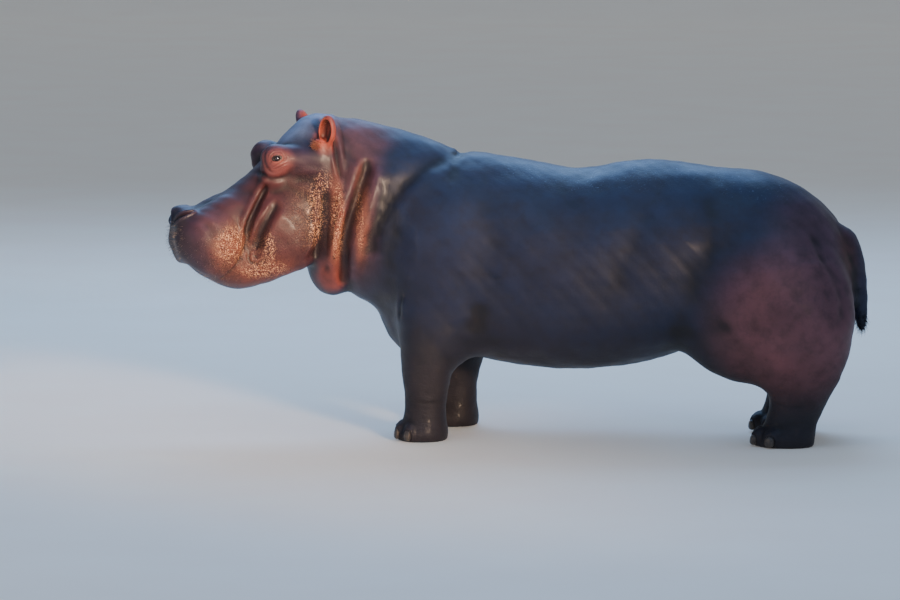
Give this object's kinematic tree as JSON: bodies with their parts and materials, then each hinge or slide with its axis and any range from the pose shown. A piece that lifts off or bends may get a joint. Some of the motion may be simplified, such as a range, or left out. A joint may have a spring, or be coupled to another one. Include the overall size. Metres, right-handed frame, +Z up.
{
  "type": "hippopotamus",
  "caption": "Life-size still model of a standing hippopotamus, head turned slightly to its left, mouth closed, with a broad muzzle, raised eyes, small cupped ears and a short tail.",
  "frame": {"origin": "on the floor, under the middle of the body's box", "axes": "the animal faces -X and its left side is toward -Y; +Z is up, and its head is turned toward -Y"},
  "size_m": [3.482, 1.042, 1.6155],
  "materials": {
    "hide": "wet, smooth, dark slate hide with fine wrinkles",
    "face_hide": "wet, red-brown hide of the face",
    "ear_hide": "thin pinkish-red hide",
    "eye": "wet, dark brown",
    "nail": "worn dark horn",
    "bristle": "stiff dark bristle"
  },
  "bodies": {
    "root": {"head": "face_hide", "lower_jaw": "face_hide", "ear_left": "ear_hide", "ear_right": "ear_hide", "eye_left": "eye", "eye_right": "eye", "neck": "hide", "trunk": "hide", "tail": "hide", "foreleg_left": "hide", "foreleg_right": "hide", "hindleg_left": "hide", "hindleg_right": "hide", "forefoot_left": "hide", "forefoot_right": "hide", "hindfoot_left": "hide", "hindfoot_right": "hide", "nail_fore_left_1": "nail", "nail_fore_left_2": "nail", "nail_fore_left_3": "nail", "nail_fore_left_4": "nail", "nail_fore_right_1": "nail", "nail_fore_right_2": "nail", "nail_fore_right_3": "nail", "nail_fore_right_4": "nail", "nail_hind_left_1": "nail", "nail_hind_left_2": "nail", "nail_hind_left_3": "nail", "nail_hind_left_4": "nail", "nail_hind_right_1": "nail", "nail_hind_right_2": "nail", "nail_hind_right_3": "nail", "nail_hind_right_4": "nail"}
  },
  "joints": []
}
